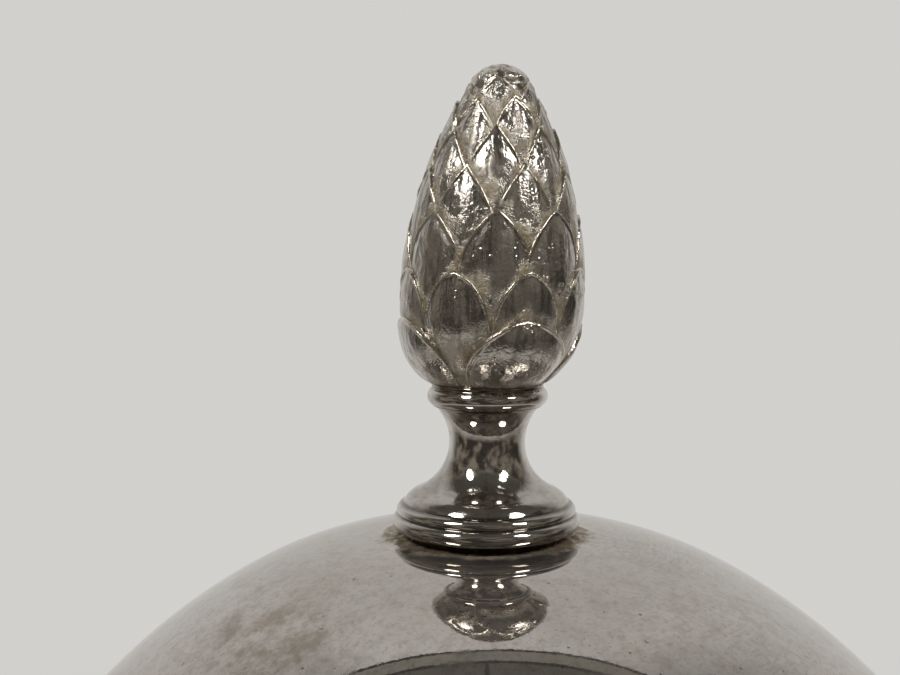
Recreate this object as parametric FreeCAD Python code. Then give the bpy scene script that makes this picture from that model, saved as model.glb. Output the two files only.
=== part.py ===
"""Covered sugar bowl in sheet silver: bowl on a pedestal with two loop handles, and a domed
lift-off lid whose cast cone finial stands on a turned spool.

Millimetres. +Z is up, the origin is on the table under the middle of the foot, and the
handles point along +X and -X. Every round piece is an outline in the r-z half plane, turned
about Z.
"""
import FreeCAD, Part
import math
import os
from collections import namedtuple

# ---- driving dimensions -------------------------------------------------------------------
# Bowl
MOUTH_RADIUS = 46.0  # inside of the neck
BELLY_BULGE = 6.8  # how far the belly stands out past the neck
BOWL_WALL = 1.0
SHOULDER_RADIUS = 34.0  # curve from the belly up to the neck
NECK_COVE_RADIUS = 8.0  # hollow curve under the neck
NECK_HEIGHT = 8.0  # straight part that the lid's bezel slides into
SIDE_RADIUS = 30.0  # curve from the belly down
SIDE_ANGLE = 60.0  # degrees below the belly where the flatter bottom begins

# Pedestal
FOOT_RADIUS = 37.3  # to the middle of the foot's rim bead
FOOT_BEAD_RADIUS = 1.7
FOOT_RIM_WIDTH = 3.8  # of the flat ring that stands on the table
FOOT_OVOLO_RADIUS = 3.0
FOOT_COVE_RADIUS = 11.6
FOOT_TOP_RADIUS = 9.5
FOOT_WALL = 1.0
STEM_HEIGHT = 18.0
STEM_BASE_BEAD = 1.1
STEM_WAIST_RADIUS = 5.2
STEM_KNOP_HEIGHT = 8.2  # of the knop's middle above the foot
STEM_KNOP_RADIUS = 8.6
STEM_KNOP_BEAD = 2.3
STEM_CUP_RADIUS = 12.5  # where the stem meets the bowl
STEM_CUP_EDGE = 1.2

# Rim mouldings
RIM_BEAD_RADIUS = 1.3
RIM_COVE_RADIUS = 2.0
RIM_EDGE = 0.3  # least thickness where a moulding runs out

# Lid
LID_WALL = 1.0
DOME_BASE_INSET = 2.4  # from the neck's outside in to the foot of the dome
DOME_SEAT_RADIUS = 7.8  # flat seat of the finial
DOME_CROWN = 0.695  # radius of the bend round the seat, as a share of the dome's foot radius
DOME_CROWN_SLOPE = 28.0  # degrees, where the crown runs into the flank
DOME_FLANK = 1.21  # radius of the flank, as a share of the foot radius
DOME_FLANK_SLOPE = 52.0  # where the flank runs into the last turn down
DOME_FOOT_SLOPE = 84.0  # where the dome meets the lid's rim
BEZEL_CLEARANCE = 0.4  # all round, so the lid lifts off freely
BEZEL_WALL = 1.0
BEZEL_DEPTH = 7.0

# Finial: the spool's heights and radii are from its seat on the dome
SPOOL_SEAT_RADIUS = 8.1
SPOOL_BASE_HEIGHT = 0.5
SPOOL_TORUS_BULGE = 0.35  # past the seat
SPOOL_GROOVE_RADIUS = 8.0
SPOOL_GROOVE_HEIGHT = 2.15
SPOOL_BRIM_RADIUS = 8.25
SPOOL_BRIM_HEIGHT = 2.45
SPOOL_LEDGE_RADIUS = 6.45
SPOOL_LEDGE_HEIGHT = 4.1
SPOOL_WAIST_RADIUS = 3.42
SPOOL_WAIST_HEIGHT = 8.4
SPOOL_NECK_TOP_RADIUS = 4.75
SPOOL_COLLAR_RADIUS = 5.4
SPOOL_COLLAR_BEAD = 0.8
SPOOL_COLLAR_HEIGHT = 11.75  # of its lower side
SPOOL_TOP_RADIUS = 5.05  # narrow neck between the collar and the cone
SPOOL_HEIGHT = 13.75
CONE_FOOT_RADIUS = 5.3
CONE_RADIUS = 8.1
CONE_BELLY_HEIGHT = 6.8  # of the widest place above the cone's foot
CONE_HEIGHT = 28.1
CONE_TIP_RADIUS = 3.06
STUD_RADIUS = 1.75
STUD_DEPTH_IN_SPOOL = 8.0
THREAD_CLEARANCE = 0.05
STUD_HOLE_CLEARANCE = 0.35
WASHER_RADIUS = 5.5
WASHER_THICKNESS = 0.8
NUT_ACROSS_FLATS = 6.6
NUT_THICKNESS = 2.6
STUD_TAIL = 1.2  # below the nut

# Handles
HANDLE_WIDTH = 7.0
HANDLE_THICKNESS = 4.4
HANDLE_TOP_BEND = 11.0
HANDLE_LOW_BEND = 14.0
HANDLE_RISE = 40.0  # degrees, the way the handle leaves the bowl
HANDLE_BACK = -100.0  # heading of its outer run, which comes in a little as it falls
HANDLE_RETURN = -200.0  # heading of its lower end, back to the bowl
UPPER_BOSS_ANGLE = 25.0  # degrees above the belly
LOWER_BOSS_ANGLE = 30.0  # degrees below the belly
BOSS_RADIUS = 4.6
BOSS_LENGTH = 2.5
BOSS_ROOT = 6.0  # how far the uncut boss reaches in, before it is trimmed to the bowl

# ---- outlines -----------------------------------------------------------------------------
Arc = namedtuple("Arc", "centre radius first last")  # angles in degrees from +r towards +z
TOUCH = 1e-6
AXIS = FreeCAD.Vector(0, 0, 1)


def polar(centre, radius, degrees):
    angle = math.radians(degrees)
    return (centre[0] + radius * math.cos(angle), centre[1] + radius * math.sin(angle))


def dome_turn_radius(foot, crown, flank):
    """Radius of the dome's last turn, which takes the flank out to the foot radius."""
    crown_sine, flank_sine, foot_sine = (
        math.sin(math.radians(slope)) for slope in (DOME_CROWN_SLOPE, DOME_FLANK_SLOPE, DOME_FOOT_SLOPE)
    )
    flank_end = DOME_SEAT_RADIUS + crown * crown_sine + flank * (flank_sine - crown_sine)
    return (foot - flank_end) / (foot_sine - flank_sine)


def place(point):
    return FreeCAD.Vector(point[0], 0, point[1])


def edges_along(outline):
    """The outline's edges: arcs as they are, and straight edges wherever two items don't meet."""
    edges = []
    reached = None
    for item in outline:
        is_arc = isinstance(item, Arc)
        start = place(polar(item.centre, item.radius, item.first) if is_arc else item)
        if reached is not None and reached.distanceToPoint(start) > TOUCH:
            edges.append(Part.LineSegment(reached, start).toShape())
        reached = start
        if is_arc:
            middle = place(polar(item.centre, item.radius, (item.first + item.last) / 2))
            reached = place(polar(item.centre, item.radius, item.last))
            edges.append(Part.Arc(start, middle, reached).toShape())
    return edges


def turned(outline):
    """Solid of revolution about Z of a closed outline."""
    first = outline[0]
    start = polar(first.centre, first.radius, first.first) if isinstance(first, Arc) else first
    edges = edges_along(list(outline) + [start])
    face = Part.Face(Part.Wire(edges))
    return face.revolve(FreeCAD.Vector(0, 0, 0), AXIS, 360)


def disc(radius, low, high, bore=0.0):
    return turned([(bore, low), (radius, low), (radius, high), (bore, high)])


# ---- levels and radii that follow from the driving dimensions --------------------------------
neck_radius = MOUTH_RADIUS + BOWL_WALL
belly_radius = neck_radius + BELLY_BULGE
bottom_radius = SIDE_RADIUS + (belly_radius - SIDE_RADIUS) / math.cos(math.radians(SIDE_ANGLE))

foot_rim_height = 2 * FOOT_BEAD_RADIUS
foot_ledge_z = foot_rim_height + FOOT_OVOLO_RADIUS
foot_top_z = foot_ledge_z + FOOT_COVE_RADIUS
bowl_bottom_z = foot_top_z + STEM_HEIGHT
bottom_centre = (0.0, bowl_bottom_z + bottom_radius)
side_centre = polar(bottom_centre, bottom_radius - SIDE_RADIUS, -SIDE_ANGLE)
belly_z = side_centre[1]
shoulder_centre = (belly_radius - SHOULDER_RADIUS, belly_z)
shoulder_reach = SHOULDER_RADIUS + NECK_COVE_RADIUS
shoulder_angle = math.degrees(math.acos((shoulder_reach - BELLY_BULGE) / shoulder_reach))
neck_cove_centre = polar(shoulder_centre, shoulder_reach, shoulder_angle)
mouth_z = neck_cove_centre[1] + NECK_HEIGHT

rim_bead_r = neck_radius + RIM_EDGE + RIM_COVE_RADIUS
dome_base_radius = neck_radius - DOME_BASE_INSET
lid_cove_radius = rim_bead_r - dome_base_radius - RIM_EDGE
dome_base_z = mouth_z + 2 * RIM_BEAD_RADIUS + lid_cove_radius
crown_radius = DOME_CROWN * dome_base_radius
flank_radius = DOME_FLANK * dome_base_radius
turn_radius = dome_turn_radius(dome_base_radius, crown_radius, flank_radius)
turn_centre = polar((dome_base_radius, dome_base_z), -turn_radius, 90 - DOME_FOOT_SLOPE)
flank_centre = polar(turn_centre, turn_radius - flank_radius, 90 - DOME_FLANK_SLOPE)
crown_centre = polar(flank_centre, flank_radius - crown_radius, 90 - DOME_CROWN_SLOPE)
seat_z = crown_centre[1] + crown_radius
bezel_radius = MOUTH_RADIUS - BEZEL_CLEARANCE

thread_bore = STUD_RADIUS + THREAD_CLEARANCE
cone_foot_z = seat_z + SPOOL_HEIGHT
washer_z = seat_z - LID_WALL - WASHER_THICKNESS
nut_z = washer_z - NUT_THICKNESS


# ---- bowl and pedestal ------------------------------------------------------------------------
def bowl_curve(inset):
    """The body's section from the middle of the bottom up to the mouth, moved in by inset."""
    return [
        Arc(bottom_centre, bottom_radius - inset, -90, -SIDE_ANGLE),
        Arc(side_centre, SIDE_RADIUS - inset, -SIDE_ANGLE, 0),
        Arc(shoulder_centre, SHOULDER_RADIUS - inset, 0, shoulder_angle),
        Arc(neck_cove_centre, NECK_COVE_RADIUS + inset, 180 + shoulder_angle, 180),
        (neck_radius - inset, mouth_z),
    ]


def backwards(outline):
    """The same outline, run from its end to its start."""
    return [
        Arc(item.centre, item.radius, item.last, item.first) if isinstance(item, Arc) else item
        for item in reversed(outline)
    ]


def bowl_shell():
    return turned(bowl_curve(0) + backwards(bowl_curve(BOWL_WALL)))


def bowl_envelope():
    """The bowl as if it were filled, to trim what is soldered to its outside."""
    return turned(bowl_curve(0) + [(0, mouth_z)])


def rim_moulding(z, way, inner, cove):
    """Ring with a half-round bead at z and a cove that runs out towards way (+1 up, -1 down)."""
    bead_centre = (rim_bead_r, z + way * RIM_BEAD_RADIUS)
    step_z = z + way * 2 * RIM_BEAD_RADIUS
    cove_centre = (rim_bead_r, step_z + way * cove)
    return turned([
        (inner, z),
        Arc(bead_centre, RIM_BEAD_RADIUS, -90 * way, 90 * way),
        Arc(cove_centre, cove, -90 * way, -180 * way),
        (inner, cove_centre[1]),
    ])


def foot_curve(inset):
    """The foot's section from its top centre out to its rim, moved in by inset."""
    cove_centre = (FOOT_TOP_RADIUS + FOOT_COVE_RADIUS, foot_top_z)
    cove_radius = FOOT_COVE_RADIUS + inset
    cove_start = 180 + math.degrees(math.asin(inset / cove_radius))
    ovolo_centre = (FOOT_RADIUS - RIM_EDGE - FOOT_OVOLO_RADIUS, foot_rim_height)
    return [
        (0, foot_top_z - inset),
        Arc(cove_centre, cove_radius, cove_start, 270),
        Arc(ovolo_centre, FOOT_OVOLO_RADIUS - inset, 90, 0),
    ]


def foot_shell():
    return turned(foot_curve(0) + backwards(foot_curve(FOOT_WALL)))


def foot_rim():
    inner = FOOT_RADIUS - FOOT_RIM_WIDTH
    bead = Arc((FOOT_RADIUS, FOOT_BEAD_RADIUS), FOOT_BEAD_RADIUS, -90, 90)
    return turned([(inner, 0), bead, (inner, foot_rim_height)])


def flare(waist, end):
    """Hollow arc that leaves the waist straight up or down and reaches end."""
    out = end[0] - waist[0]
    rise = end[1] - waist[1]
    radius = (out**2 + rise**2) / (2 * out)
    turned_to = math.degrees(math.atan2(rise, out - radius)) % 360
    return Arc((waist[0] + radius, waist[1]), radius, 180, turned_to)


def bead(radius, middle_z, size):
    """Half-round bead that stands out to radius."""
    return Arc((radius - size, middle_z), size, -90, 90)


def pedestal_stem():
    base_top = foot_top_z + 2 * STEM_BASE_BEAD
    knop_z = foot_top_z + STEM_KNOP_HEIGHT
    knop_low = knop_z - STEM_KNOP_BEAD
    knop_high = knop_z + STEM_KNOP_BEAD
    cove = (knop_low - base_top) / 2
    cup_angle = math.degrees(math.asin(STEM_CUP_RADIUS / bottom_radius)) - 90
    cup_rim = polar(bottom_centre, bottom_radius, cup_angle)
    cup_edge = (STEM_CUP_RADIUS, cup_rim[1] - STEM_CUP_EDGE)
    return turned([
        (0, foot_top_z),
        bead(FOOT_TOP_RADIUS + STEM_BASE_BEAD, foot_top_z + STEM_BASE_BEAD, STEM_BASE_BEAD),
        Arc((STEM_WAIST_RADIUS + cove, base_top + cove), cove, 270, 90),
        bead(STEM_KNOP_RADIUS, knop_z, STEM_KNOP_BEAD),
        flare((STEM_WAIST_RADIUS, knop_high), cup_edge),
        Arc(bottom_centre, bottom_radius, cup_angle, -90),
    ])


# ---- handles ------------------------------------------------------------------------------------
def heading(degrees):
    return polar((0, 0), 1, degrees)


def along(point, degrees, distance):
    return polar(point, distance, degrees)


def bend(start, turn_from, turn_to, radius):
    """Clockwise arc of the handle's path, from one heading to the next."""
    centre = along(start, turn_from - 90, radius)
    return Arc(centre, radius, turn_from + 90, turn_to + 90)


def arc_end(arc):
    return polar(arc.centre, arc.radius, arc.last)


def handle_ends():
    """Middle of each boss's outer face, and the way the boss points."""
    upper = polar(shoulder_centre, SHOULDER_RADIUS, UPPER_BOSS_ANGLE)
    lower = polar(side_centre, SIDE_RADIUS, -LOWER_BOSS_ANGLE)
    lower_way = HANDLE_RETURN + 180
    return [
        (along(upper, HANDLE_RISE, BOSS_LENGTH), HANDLE_RISE),
        (along(lower, lower_way, BOSS_LENGTH), lower_way),
    ]


def handle_path():
    """Two bends and two straight runs, whose lengths are solved so that the path closes."""
    (start, _), (finish, _) = handle_ends()
    top = arc_end(bend((0, 0), HANDLE_RISE, HANDLE_BACK, HANDLE_TOP_BEND))
    low = arc_end(bend((0, 0), HANDLE_BACK, HANDLE_RETURN, HANDLE_LOW_BEND))
    gap_r = finish[0] - start[0] - top[0] - low[0]
    gap_z = finish[1] - start[1] - top[1] - low[1]
    up = heading(HANDLE_RISE)
    down = heading(HANDLE_BACK)
    cross = up[0] * down[1] - up[1] * down[0]
    rise_run = (gap_r * down[1] - gap_z * down[0]) / cross
    back_run = (up[0] * gap_z - up[1] * gap_r) / cross
    top_bend = bend(along(start, HANDLE_RISE, rise_run), HANDLE_RISE, HANDLE_BACK, HANDLE_TOP_BEND)
    low_start = along(arc_end(top_bend), HANDLE_BACK, back_run)
    return [start, top_bend, bend(low_start, HANDLE_BACK, HANDLE_RETURN, HANDLE_LOW_BEND)]


def handle():
    """Oval bar swept along the path, for the +X side."""
    path = Part.Wire(edges_along(handle_path()))
    (start, _), _ = handle_ends()
    way = heading(HANDLE_RISE)
    oval = Part.Ellipse(FreeCAD.Vector(0, 0, 0), HANDLE_WIDTH / 2, HANDLE_THICKNESS / 2).toShape()
    section = Part.Wire([oval])
    across = FreeCAD.Vector(0, 1, 0)
    normal = FreeCAD.Vector(way[0], 0, way[1])
    section.Placement = FreeCAD.Placement(
        place(start), FreeCAD.Rotation(across, normal.cross(across), normal, "ZXY")
    )
    return path.makePipeShell([section], True, False)


def boss(end, way):
    """Round pad between a handle's end and the bowl, trimmed to the bowl's outside."""
    direction = heading(way)
    root = along(end, way, -BOSS_LENGTH - BOSS_ROOT)
    pad = Part.makeCylinder(
        BOSS_RADIUS,
        BOSS_LENGTH + BOSS_ROOT,
        place(root),
        FreeCAD.Vector(direction[0], 0, direction[1]),
    )
    return pad.cut(bowl_envelope())


def other_side(shape):
    """The same piece on the -X side."""
    return shape.rotated(FreeCAD.Vector(0, 0, 0), AXIS, 180)


# ---- lid ------------------------------------------------------------------------------------------
def dome_curve(inset):
    """The dome's section from its flat seat down to its rim, moved in by inset."""
    turn = turn_radius - inset
    foot = math.degrees(math.asin((dome_base_z - turn_centre[1]) / turn))
    return [
        Arc(crown_centre, crown_radius - inset, 90, 90 - DOME_CROWN_SLOPE),
        Arc(flank_centre, flank_radius - inset, 90 - DOME_CROWN_SLOPE, 90 - DOME_FLANK_SLOPE),
        Arc(turn_centre, turn, 90 - DOME_FLANK_SLOPE, foot),
    ]


def lid_dome():
    hole = STUD_RADIUS + STUD_HOLE_CLEARANCE
    outside = [(hole, seat_z)] + dome_curve(0)
    inside = dome_curve(LID_WALL)
    return turned(outside + backwards([(hole, seat_z - LID_WALL)] + inside))


def lid_bezel():
    inner = bezel_radius - BEZEL_WALL
    bottom = mouth_z - BEZEL_DEPTH
    lip = Arc((bezel_radius - BEZEL_WALL / 2, bottom + BEZEL_WALL / 2), BEZEL_WALL / 2, -180, 0)
    return turned([(inner, mouth_z), lip, (bezel_radius, mouth_z)])


def bulging(start, end, bulge):
    """Arc from start up to end whose middle stands out past the straight line by bulge."""
    chord = math.dist(start, end)
    radius = (chord**2 / 4 + bulge**2) / (2 * bulge)
    half = math.degrees(math.asin(chord / 2 / radius))
    facing = math.degrees(math.atan2(end[1] - start[1], end[0] - start[0])) - 90
    middle = ((start[0] + end[0]) / 2, (start[1] + end[1]) / 2)
    centre = polar(middle, bulge - radius, facing)
    return Arc(centre, radius, facing - half, facing + half)


def finial_spool():
    """Turned spool, bored from below for the stud."""
    base_top = (SPOOL_SEAT_RADIUS, seat_z + SPOOL_BASE_HEIGHT)
    groove = (SPOOL_GROOVE_RADIUS, seat_z + SPOOL_GROOVE_HEIGHT)
    ledge = (SPOOL_LEDGE_RADIUS, seat_z + SPOOL_LEDGE_HEIGHT)
    waist = (SPOOL_WAIST_RADIUS, seat_z + SPOOL_WAIST_HEIGHT)
    collar_z = seat_z + SPOOL_COLLAR_HEIGHT
    bore_end = seat_z + STUD_DEPTH_IN_SPOOL
    outline = [(thread_bore, seat_z), (SPOOL_SEAT_RADIUS, seat_z)]
    outline += [bulging(base_top, groove, SPOOL_TORUS_BULGE)]
    outline += [(SPOOL_BRIM_RADIUS, seat_z + SPOOL_BRIM_HEIGHT)]
    outline += backwards([flare(waist, ledge)])
    outline += [flare(waist, (SPOOL_NECK_TOP_RADIUS, collar_z))]
    outline += [bead(SPOOL_COLLAR_RADIUS, collar_z + SPOOL_COLLAR_BEAD, SPOOL_COLLAR_BEAD)]
    outline += [(SPOOL_TOP_RADIUS, collar_z + 2 * SPOOL_COLLAR_BEAD)]
    outline += [(SPOOL_TOP_RADIUS, cone_foot_z), (0, cone_foot_z)]
    outline += [(0, bore_end), (thread_bore, bore_end)]
    return turned(outline)


def finial_cone():
    """Plain outer shape of the cast cone: three arcs that run into each other."""
    belly = cone_foot_z + CONE_BELLY_HEIGHT
    above = CONE_HEIGHT - CONE_BELLY_HEIGHT
    in_at_foot = CONE_RADIUS - CONE_FOOT_RADIUS
    low_radius = (CONE_BELLY_HEIGHT**2 + in_at_foot**2) / (2 * in_at_foot)
    foot_angle = math.degrees(math.asin(CONE_BELLY_HEIGHT / low_radius))
    to_tip = above - CONE_TIP_RADIUS
    side_radius = (CONE_RADIUS**2 - CONE_TIP_RADIUS**2 + to_tip**2) / (
        2 * (CONE_RADIUS - CONE_TIP_RADIUS)
    )
    tip_angle = math.degrees(math.asin(to_tip / (side_radius - CONE_TIP_RADIUS)))
    return turned([
        (0, cone_foot_z),
        Arc((CONE_RADIUS - low_radius, belly), low_radius, -foot_angle, 0),
        Arc((CONE_RADIUS - side_radius, belly), side_radius, 0, tip_angle),
        Arc((0, belly + to_tip), CONE_TIP_RADIUS, tip_angle, 90),
    ])


def finial_stud():
    return disc(STUD_RADIUS, nut_z - STUD_TAIL, seat_z + STUD_DEPTH_IN_SPOOL)


def finial_washer():
    return disc(WASHER_RADIUS, washer_z, washer_z + WASHER_THICKNESS, thread_bore)


def finial_nut():
    corner = NUT_ACROSS_FLATS / 2 / math.cos(math.pi / 6)
    corners = [polar((0, 0), corner, 60 * side) for side in range(7)]
    outline = Part.makePolygon([FreeCAD.Vector(x, y, nut_z) for x, y in corners])
    body = Part.Face(outline).extrude(AXIS * NUT_THICKNESS)
    return body.cut(disc(thread_bore, nut_z, nut_z + NUT_THICKNESS))


# ---- every piece, one file each -------------------------------------------------------------------
right_handle = handle()
upper_end, lower_end = handle_ends()
right_upper_boss = boss(*upper_end)
right_lower_boss = boss(*lower_end)

pieces = {
    "foot_rim": foot_rim(),
    "foot_dome": foot_shell(),
    "pedestal_stem": pedestal_stem(),
    "bowl_shell": bowl_shell(),
    "bowl_rim": rim_moulding(mouth_z, -1, neck_radius, RIM_COVE_RADIUS),
    "right_handle": right_handle,
    "right_upper_boss": right_upper_boss,
    "right_lower_boss": right_lower_boss,
    "left_handle": other_side(right_handle),
    "left_upper_boss": other_side(right_upper_boss),
    "left_lower_boss": other_side(right_lower_boss),
    "lid_rim": rim_moulding(mouth_z, 1, bezel_radius - BEZEL_WALL, lid_cove_radius),
    "lid_bezel": lid_bezel(),
    "lid_dome": lid_dome(),
    "finial_spool": finial_spool(),
    "finial_cone": finial_cone(),
    "finial_stud": finial_stud(),
    "finial_washer": finial_washer(),
    "finial_nut": finial_nut(),
}

os.makedirs("parts", exist_ok=True)
for node, shape in pieces.items():
    shape.exportStep(f"parts/{node}.step")
    box = shape.optimalBoundingBox()
    print(f"{node:18s} z {box.ZMin:8.3f} to {box.ZMax:8.3f}   x to {box.XMax:7.3f}   "
          f"{shape.Volume / 1000:7.3f} cm3   closed {shape.isValid()}")
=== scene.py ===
"""Silver sugar bowl with a lift-off lid: looks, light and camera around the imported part.

Pieces are sized in millimetres and turned into metres where their vertices are placed. The
finishes, the floor, the room and the lamps are in metres.
"""
import math
import random
from collections import namedtuple

import bmesh
import bpy
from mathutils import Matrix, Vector, noise


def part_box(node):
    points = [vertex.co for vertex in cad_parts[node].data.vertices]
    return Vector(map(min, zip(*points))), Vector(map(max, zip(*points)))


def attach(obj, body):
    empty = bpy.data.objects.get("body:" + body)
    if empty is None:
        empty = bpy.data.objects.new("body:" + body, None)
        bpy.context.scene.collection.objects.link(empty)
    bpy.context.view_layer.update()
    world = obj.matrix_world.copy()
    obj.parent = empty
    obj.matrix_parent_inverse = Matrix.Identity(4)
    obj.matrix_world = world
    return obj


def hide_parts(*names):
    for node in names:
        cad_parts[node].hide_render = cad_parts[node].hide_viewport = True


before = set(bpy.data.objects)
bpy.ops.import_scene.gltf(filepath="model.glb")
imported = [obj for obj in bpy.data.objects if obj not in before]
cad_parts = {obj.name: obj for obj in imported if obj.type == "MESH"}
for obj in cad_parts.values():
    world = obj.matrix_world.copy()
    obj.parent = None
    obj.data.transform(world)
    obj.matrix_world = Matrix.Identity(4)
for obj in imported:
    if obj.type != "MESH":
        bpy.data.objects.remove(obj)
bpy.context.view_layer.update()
MM = 0.001


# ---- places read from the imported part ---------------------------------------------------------
spool_low, spool_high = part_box("finial_spool")
cone_low, cone_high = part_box("finial_cone")
dome_low, dome_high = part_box("lid_dome")
SEAT_Z = spool_low.z / MM
SPOOL_HEIGHT = (spool_high.z - spool_low.z) / MM
CONE_HEIGHT = (cone_high.z - cone_low.z) / MM
CONE_RADIUS = cone_high.x / MM
DOME_FOOT_Z = dome_low.z / MM
DOME_FOOT_RADIUS = dome_high.x / MM


# ---- camera -----------------------------------------------------------------------------------
CAMERA_PLACE = (-3.8, -100.0, 25.3)  # mm from the top of the dome
CAMERA_DOWN = 4.3  # degrees below level
LENS = 44.96

camera_data = bpy.data.cameras.new("camera")
camera = bpy.data.objects.new("camera", camera_data)
bpy.context.scene.collection.objects.link(camera)
camera.location = Vector((CAMERA_PLACE[0], CAMERA_PLACE[1], SEAT_Z + CAMERA_PLACE[2])) * MM
camera.rotation_euler = (math.radians(90 - CAMERA_DOWN), 0, 0)
camera_data.sensor_width = 36
camera_data.lens = LENS
camera_data.clip_start = 0.005
bpy.context.scene.camera = camera
bpy.context.scene.view_settings.view_transform = "Standard"


# ---- node helpers -----------------------------------------------------------------------------
class Nodes:
    """Short calls for building one node tree."""

    def __init__(self, tree):
        self.tree = tree
        self.link = tree.links.new

    def add(self, kind, inputs=None, **settings):
        node = self.tree.nodes.new("ShaderNode" + kind)
        for name, value in settings.items():
            setattr(node, name, value)
        for name, value in (inputs or {}).items():
            if isinstance(value, bpy.types.NodeSocket):
                self.link(value, node.inputs[name])
            else:
                node.inputs[name].default_value = value
        return node

    def math(self, operation, first, second=0.0, clamp=False):
        node = self.add("Math", {0: first, 1: second}, operation=operation, use_clamp=clamp)
        return node.outputs[0]

    def times(self, first, second, clamp=False):
        return self.math("MULTIPLY", first, second, clamp)

    def plus(self, first, second, clamp=False):
        return self.math("ADD", first, second, clamp)

    def minus(self, first, second, clamp=False):
        return self.math("SUBTRACT", first, second, clamp)

    def total(self, *layers):
        """Sum of (value, weight) pairs."""
        weighted = [self.times(value, weight) for value, weight in layers]
        result = weighted[0]
        for layer in weighted[1:]:
            result = self.plus(result, layer)
        return result

    def noise(self, vector, scale, detail=4.0, roughness=0.55, distortion=0.0):
        inputs = {"Vector": vector, "Scale": scale, "Detail": detail, "Roughness": roughness}
        inputs["Distortion"] = distortion
        return self.add("TexNoise", inputs).outputs["Fac"]

    def span(self, value, low, high, to_low=0.0, to_high=1.0):
        """The value eased from to_low at low to to_high at high."""
        inputs = {"Value": value, "From Min": low, "From Max": high}
        inputs.update({"To Min": to_low, "To Max": to_high})
        return self.add("MapRange", inputs, interpolation_type="SMOOTHSTEP").outputs["Result"]

    def patches(self, vector, pattern, low, high, to_low=0.0, to_high=1.0):
        """Mask of a noise pattern, eased between two of its values."""
        return self.span(self.noise(vector, *pattern), low, high, to_low, to_high)

    def blend(self, factor, first, second):
        """Mix of two colours."""
        node = self.add("Mix", data_type="RGBA")
        sockets = node.inputs[0], node.inputs[6], node.inputs[7]
        for socket, value in zip(sockets, (factor, first, second)):
            if isinstance(value, bpy.types.NodeSocket):
                self.link(value, socket)
            else:
                socket.default_value = value
        return node.outputs[2]

    def tint(self, colour, mask, strength, tone):
        """The colour with a tone laid over it where the mask is."""
        return self.blend(self.times(mask, strength), colour, tone)

    def apart(self, place, point):
        """Distance from a point, in metres."""
        return self.add("VectorMath", {0: place, 1: point}, operation="DISTANCE").outputs["Value"]

    def axes(self, vector):
        """The X, Y and Z parts of a vector."""
        parts = self.add("SeparateXYZ", {"Vector": vector})
        return [parts.outputs[name] for name in "XYZ"]

    def attribute(self, name):
        return self.add("Attribute", attribute_name=name).outputs["Fac"]

    def relief(self, shader, height, strength, depth):
        """Fine relief of a finish, with its depth in metres."""
        bump = self.add("Bump", {"Strength": strength, "Distance": depth, "Height": height})
        self.link(bump.outputs["Normal"], shader.inputs["Normal"])


def new_material(name):
    material = bpy.data.materials.new(name)
    material.use_nodes = True
    nodes = Nodes(material.node_tree)
    shader = material.node_tree.nodes["Principled BSDF"]
    return material, nodes, shader


NEAR_AXIS = 1e-4  # metres, so that nothing is divided by zero on the axis itself


def turned_vector(nodes, fine, long):
    """Object coordinates, and a copy in which noise is fine across the turning and long round it."""
    place = nodes.add("TexCoord").outputs["Object"]
    x, y, z = nodes.axes(place)
    reach = nodes.math("SQRT", nodes.plus(nodes.times(x, x), nodes.times(y, y)))
    safe = nodes.math("MAXIMUM", reach, NEAR_AXIS)
    across = nodes.times(nodes.minus(reach, z), fine)
    around_x = nodes.times(nodes.math("DIVIDE", x, safe), long)
    around_y = nodes.times(nodes.math("DIVIDE", y, safe), long)
    return place, nodes.add("CombineXYZ", {"X": across, "Y": around_x, "Z": around_y}).outputs[0]


# ---- colours ----------------------------------------------------------------------------------
SILVER = (0.66, 0.63, 0.59, 1)
DULL_SILVER = (0.42, 0.385, 0.35, 1)
CLOUDED_SILVER = (0.60, 0.575, 0.55, 1)
DULL_CLOUD = (0.40, 0.365, 0.335, 1)
ROSY_CLOUD = (0.62, 0.555, 0.525, 1)
PALE_STREAK = (0.68, 0.655, 0.63, 1)
BROWN_TARNISH = (0.23, 0.175, 0.12, 1)
GOLD_TARNISH = (0.47, 0.385, 0.245, 1)
BLACK_TARNISH = (0.05, 0.042, 0.035, 1)
# pale rims of the scales: rubbed wear, and a painted highlight along their edges
RUBBED_AND_HIGHLIT_RIM = (0.86, 0.79, 0.64, 1)
CHASED_LINE = (0.15, 0.135, 0.115, 1)
# dark tone of the spool's dirt and painted shade in its grooves and undercut
DIRT_AND_SHADE = (0.06, 0.05, 0.04, 1)
CRUST = (0.40, 0.31, 0.19, 1)
BRASS = (0.72, 0.50, 0.20, 1)
DARK_BRASS = (0.36, 0.23, 0.10, 1)


# ---- noise patterns: scale per metre, detail, roughness and distortion ------------------------
CLOUDS = (60, 7, 0.62, 0.8)
BLOTCHES = (250, 6, 0.68, 0.6)
GRAIN = (820, 4, 0.7)
GRIT = (2300, 3, 0.7)
ROSY_AREAS = (95, 5, 0.6, 0.9)
STREAKS = (1.0, 4, 0.6, 0.4)
STREAKED_AREAS = (60, 3)
STAINED_AREAS = (70, 4, 0.6, 1.4)
STAIN_EDGE = (190, 5, 0.65)
STAIN_MOTTLE = (430, 7, 0.72)
SPECKS = (2100, 1, 0.5)
FINE_SCRATCHES = (3800, 2)
SHALLOW_DENTS = (420, 3, 0.6)
CRUMBS = (1500, 4, 0.7)
CRUST_TONES = (2600, 2)
CRUST_LUMPS = (2200, 4, 0.7)

CAST_BLOTCHES = (300, 6, 0.65, 0.8)
TURNING_MARKS = (1.0, 3, 0.6)
FILING_MARKS = (900, 3)
DIRT_AND_SHADE_EDGES = (420, 5, 0.7)
CAST_PITS = (2600, 2, 0.6)
HAMMERING = (620, 3, 0.6)
CAST_SKIN = (3200, 3, 0.6)

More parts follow.
